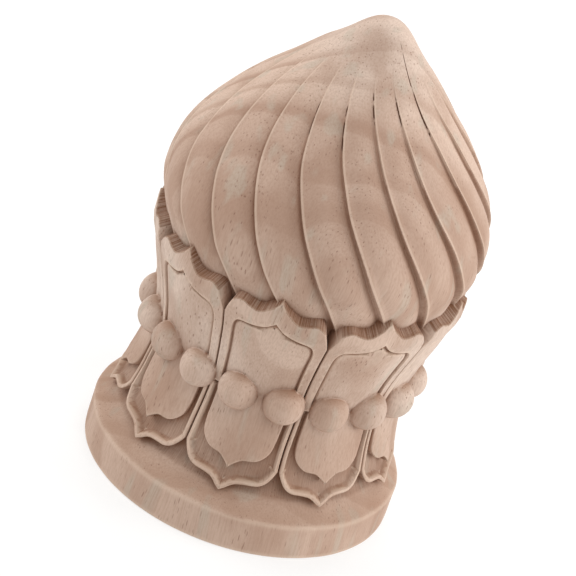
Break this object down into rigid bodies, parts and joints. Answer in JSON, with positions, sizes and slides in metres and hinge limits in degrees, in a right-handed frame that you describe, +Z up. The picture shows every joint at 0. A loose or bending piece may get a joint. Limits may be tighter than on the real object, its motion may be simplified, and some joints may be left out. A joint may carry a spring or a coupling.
{
  "type": "fence post finial",
  "caption": "Turned and carved hardwood finial for a fence or newel post: round base, hanging petals, a belt of beads, a cup of standing petals and an onion dome with twisted flutes.",
  "frame": {"origin": "centre of the underside, which stands on the post's top", "axes": "+Z up along the turning axis, with a petal of each ring facing -Y"},
  "size_m": [0.0916, 0.0916, 0.1456],
  "materials": {
    "wood": "bare pale hardwood, sanded on the broad faces, fuzzy and darker on the cut end grain"
  },
  "bodies": {
    "root": {"finial": "wood"}
  },
  "joints": []
}
